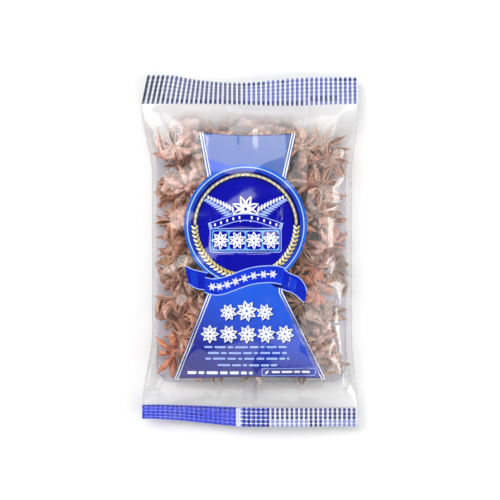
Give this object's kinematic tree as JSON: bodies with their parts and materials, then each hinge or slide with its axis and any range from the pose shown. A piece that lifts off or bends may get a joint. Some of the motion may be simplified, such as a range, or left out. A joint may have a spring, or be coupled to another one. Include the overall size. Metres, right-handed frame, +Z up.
{
  "type": "sealed bag of star anise",
  "caption": "Clear pillow bag of whole star anise with checked end seals and a plain blue label, lying on its back.",
  "frame": {"origin": "centre of the outline seen from above, at the height of the flat back that the bag lies on", "axes": "+X across the bag to the printed front's right, +Y from the bottom seal to the top seal, +Z up out of the printed front"},
  "size_m": [0.1266, 0.205, 0.0268],
  "materials": {
    "film": "clear glossy polypropylene film",
    "print": "blue, navy, gold and white ink under the film",
    "fruit": "dry, wrinkled brown husk with a smoother tan lining",
    "seed": "polished chestnut brown seed"
  },
  "bodies": {
    "root": {"bag": "film"}
  },
  "joints": []
}
